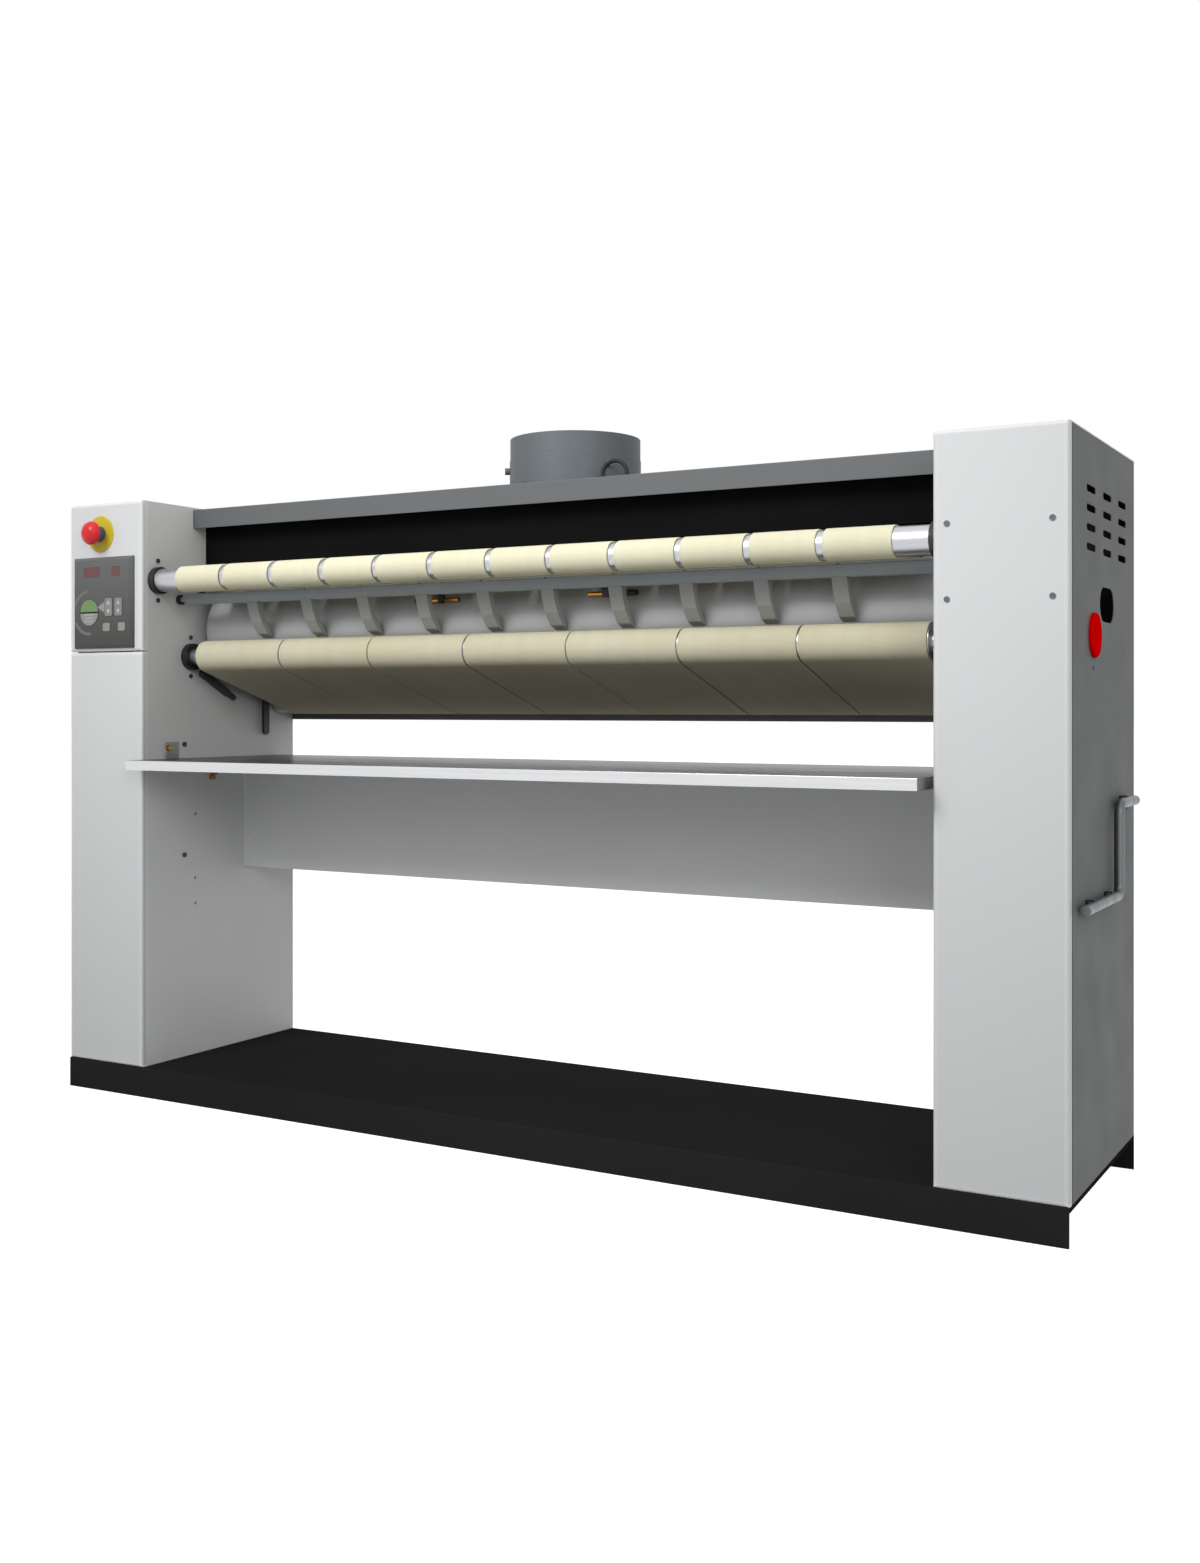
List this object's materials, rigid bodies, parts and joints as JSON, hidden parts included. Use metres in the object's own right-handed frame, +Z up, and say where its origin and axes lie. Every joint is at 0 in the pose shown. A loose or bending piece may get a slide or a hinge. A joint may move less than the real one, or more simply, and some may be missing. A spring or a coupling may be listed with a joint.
{
  "type": "flatwork ironer",
  "caption": "Free-standing flatwork ironer: two sheet-metal columns carry a heated drum, pressing and feed belts, stripper fingers, a hood with exhaust collar, and a shelf tray.",
  "frame": {"origin": "centre of the footprint at floor level, the shelf lip and the stored crank included", "axes": "+X along the drum towards the column with the crank, +Y from the feeding side to the rear, +Z up"},
  "size_m": [2.03, 0.5091, 1.279],
  "materials": {
    "dark_sheet": "satin",
    "light_sheet": "satin",
    "wall_sheet": "satin",
    "side_sheet": "satin",
    "hood_sheet": "satin",
    "black_sheet": "matt",
    "zinc": "brushed",
    "stainless": "brushed",
    "drum_steel": "polished",
    "chrome": "polished",
    "belt_cloth": "woven",
    "press_cloth": "woven",
    "blue_grey": "satin",
    "finger_metal": "satin",
    "brass": "plain",
    "black_plastic": "matt",
    "black_rubber": "matt",
    "casting": "cast",
    "panel_plastic": "matt",
    "display_red": "gloss",
    "key_grey": "matt",
    "key_green": "matt",
    "stop_yellow": "gloss",
    "stop_blue": "matt",
    "stop_red": "gloss",
    "plug_red": "gloss"
  },
  "bodies": {
    "machine": {"base_pan": "dark_sheet", "frame_left": "wall_sheet", "frame_right": "wall_sheet", "front_cover_left": "light_sheet", "control_fascia": "light_sheet", "front_cover_right": "light_sheet", "side_panel_left": "side_sheet", "side_panel_right": "side_sheet", "column_caps": "light_sheet", "column_rear_covers": "side_sheet", "hood_cover": "hood_sheet", "hood_apron": "black_sheet", "rear_cover": "hood_sheet", "exhaust_collar": "zinc", "fan_mount": "zinc", "fan_cable": "black_rubber", "gearmotor": "casting", "heating_elements": "stainless", "flange_bearings": "black_plastic", "inner_bearings": "black_plastic", "feed_belts": "belt_cloth", "press_belts": "press_cloth", "drive_belt": "black_rubber", "belt_take_ups": "black_sheet", "shelf_tray": "stainless", "shelf_pins": "brass", "cross_panel": "side_sheet", "screws": "zinc", "wall_screws": "black_sheet", "control_bezel": "panel_plastic", "control_display": "display_red", "stop_plate": "stop_yellow", "stop_neck": "stop_blue", "crank_clips": "black_plastic"},
    "drum": {"drum_shell": "drum_steel", "drum_hubs": "drum_steel", "drum_pulley": "casting"},
    "feed_roller_body": {"feed_roller": "chrome"},
    "transfer_roller_body": {"transfer_roller": "chrome"},
    "exit_roller_body": {"exit_roller": "chrome"},
    "lower_roller_body": {"lower_roller": "chrome"},
    "upper_roller_body": {"upper_roller": "chrome"},
    "nip_roller_body": {"nip_roller": "chrome"},
    "motor_shaft": {"motor_pulley": "casting"},
    "fan": {"fan_rotor": "zinc"},
    "finger_unit": {"finger_bar": "blue_grey", "stripper_fingers": "finger_metal", "thermostat_bulbs": "brass", "thermostat_clips": "black_plastic"},
    "belt_lever": {"tension_lever": "black_plastic"},
    "stop_stem_body": {"stop_stem": "stop_blue"},
    "stop_head_body": {"stop_head": "stop_red"},
    "crank": {"hand_crank": "black_sheet"},
    "plug": {"side_plug": "plug_red"},
    "key_start": {"start_key": "key_green"},
    "key_stop": {"stop_key": "key_grey"},
    "key_tall_left": {"tall_key_left": "key_grey"},
    "key_tall_right": {"tall_key_right": "key_grey"},
    "key_low_left": {"low_key_left": "key_grey"},
    "key_low_right": {"low_key_right": "key_grey"}
  },
  "joints": [
    {"name": "drum_turn", "type": "hinge", "parent": "machine", "child": "drum", "pos_m": [0, 0.0455, 0.93], "axis": [1, 0, 0], "continuous": true},
    {"name": "feed_turn", "type": "hinge", "parent": "machine", "child": "feed_roller_body", "pos_m": [0, -0.1595, 1.025], "axis": [1, 0, 0], "continuous": true},
    {"name": "transfer_turn", "type": "hinge", "parent": "machine", "child": "transfer_roller_body", "pos_m": [0, -0.0385, 1.028], "axis": [1, 0, 0], "continuous": true},
    {"name": "exit_turn", "type": "hinge", "parent": "machine", "child": "exit_roller_body", "pos_m": [0, -0.0675, 0.875], "axis": [1, 0, 0], "continuous": true},
    {"name": "lower_turn", "type": "hinge", "parent": "machine", "child": "lower_roller_body", "pos_m": [0, 0.2025, 0.786], "axis": [1, 0, 0], "continuous": true},
    {"name": "upper_turn", "type": "hinge", "parent": "machine", "child": "upper_roller_body", "pos_m": [0, 0.2025, 1.066], "axis": [1, 0, 0], "continuous": true},
    {"name": "nip_turn", "type": "hinge", "parent": "machine", "child": "nip_roller_body", "pos_m": [0, 0.0255, 1.05], "axis": [1, 0, 0], "continuous": true},
    {"name": "motor_turn", "type": "hinge", "parent": "machine", "child": "motor_shaft", "pos_m": [0, 0.0455, 0.76], "axis": [1, 0, 0], "continuous": true},
    {"name": "fan_turn", "type": "hinge", "parent": "machine", "child": "fan", "pos_m": [0, 0.1225, 1.1875], "axis": [0, 0, 1], "continuous": true},
    {"name": "finger_lift", "type": "hinge", "parent": "machine", "child": "finger_unit", "pos_m": [0, -0.0985, 0.99], "axis": [-1, 0, 0], "range_deg": [0, 5], "stiffness_Nm_per_rad": 20},
    {"name": "lever_swing", "type": "hinge", "parent": "machine", "child": "belt_lever", "pos_m": [-0.805, 0.1495, 0.82], "axis": [-1, 0, 0], "range_deg": [0, 45]},
    {"name": "stop_press", "type": "slide", "parent": "machine", "child": "stop_stem_body", "axis": [0, 1, 0], "range_m": [0, 0.004], "stiffness_N_per_m": 1500},
    {"name": "stop_twist", "type": "hinge", "parent": "stop_stem_body", "child": "stop_head_body", "pos_m": [-0.918, -0.2025, 1.12], "axis": [0, -1, 0], "range_deg": [0, 30], "stiffness_Nm_per_rad": 0.02},
    {"name": "press_start", "type": "slide", "parent": "machine", "child": "key_start", "axis": [0, 1, 0], "range_m": [0, 0.0008], "stiffness_N_per_m": 1200},
    {"name": "press_stop", "type": "slide", "parent": "machine", "child": "key_stop", "axis": [0, 1, 0], "range_m": [0, 0.0008], "stiffness_N_per_m": 1200},
    {"name": "press_tall_left", "type": "slide", "parent": "machine", "child": "key_tall_left", "axis": [0, 1, 0], "range_m": [0, 0.0008], "stiffness_N_per_m": 1200},
    {"name": "press_tall_right", "type": "slide", "parent": "machine", "child": "key_tall_right", "axis": [0, 1, 0], "range_m": [0, 0.0008], "stiffness_N_per_m": 1200},
    {"name": "press_low_left", "type": "slide", "parent": "machine", "child": "key_low_left", "axis": [0, 1, 0], "range_m": [0, 0.0008], "stiffness_N_per_m": 1200},
    {"name": "press_low_right", "type": "slide", "parent": "machine", "child": "key_low_right", "axis": [0, 1, 0], "range_m": [0, 0.0008], "stiffness_N_per_m": 1200},
    {"name": "crank_out", "type": "slide", "parent": "machine", "child": "crank", "axis": [1, 0, 0], "range_m": [0, 0.03]},
    {"name": "plug_out", "type": "slide", "parent": "machine", "child": "plug", "axis": [1, 0, 0], "range_m": [0, 0.02]}
  ],
  "couplings": [
    {"joint": "feed_turn", "follows": "drum_turn", "ratio": 3.7347},
    {"joint": "transfer_turn", "follows": "drum_turn", "ratio": 5.2286},
    {"joint": "exit_turn", "follows": "drum_turn", "ratio": -3},
    {"joint": "lower_turn", "follows": "drum_turn", "ratio": -3.3273},
    {"joint": "upper_turn", "follows": "drum_turn", "ratio": -3.3273},
    {"joint": "nip_turn", "follows": "drum_turn", "ratio": -4.6923},
    {"joint": "motor_turn", "follows": "drum_turn", "ratio": 2.1594}
  ]
}
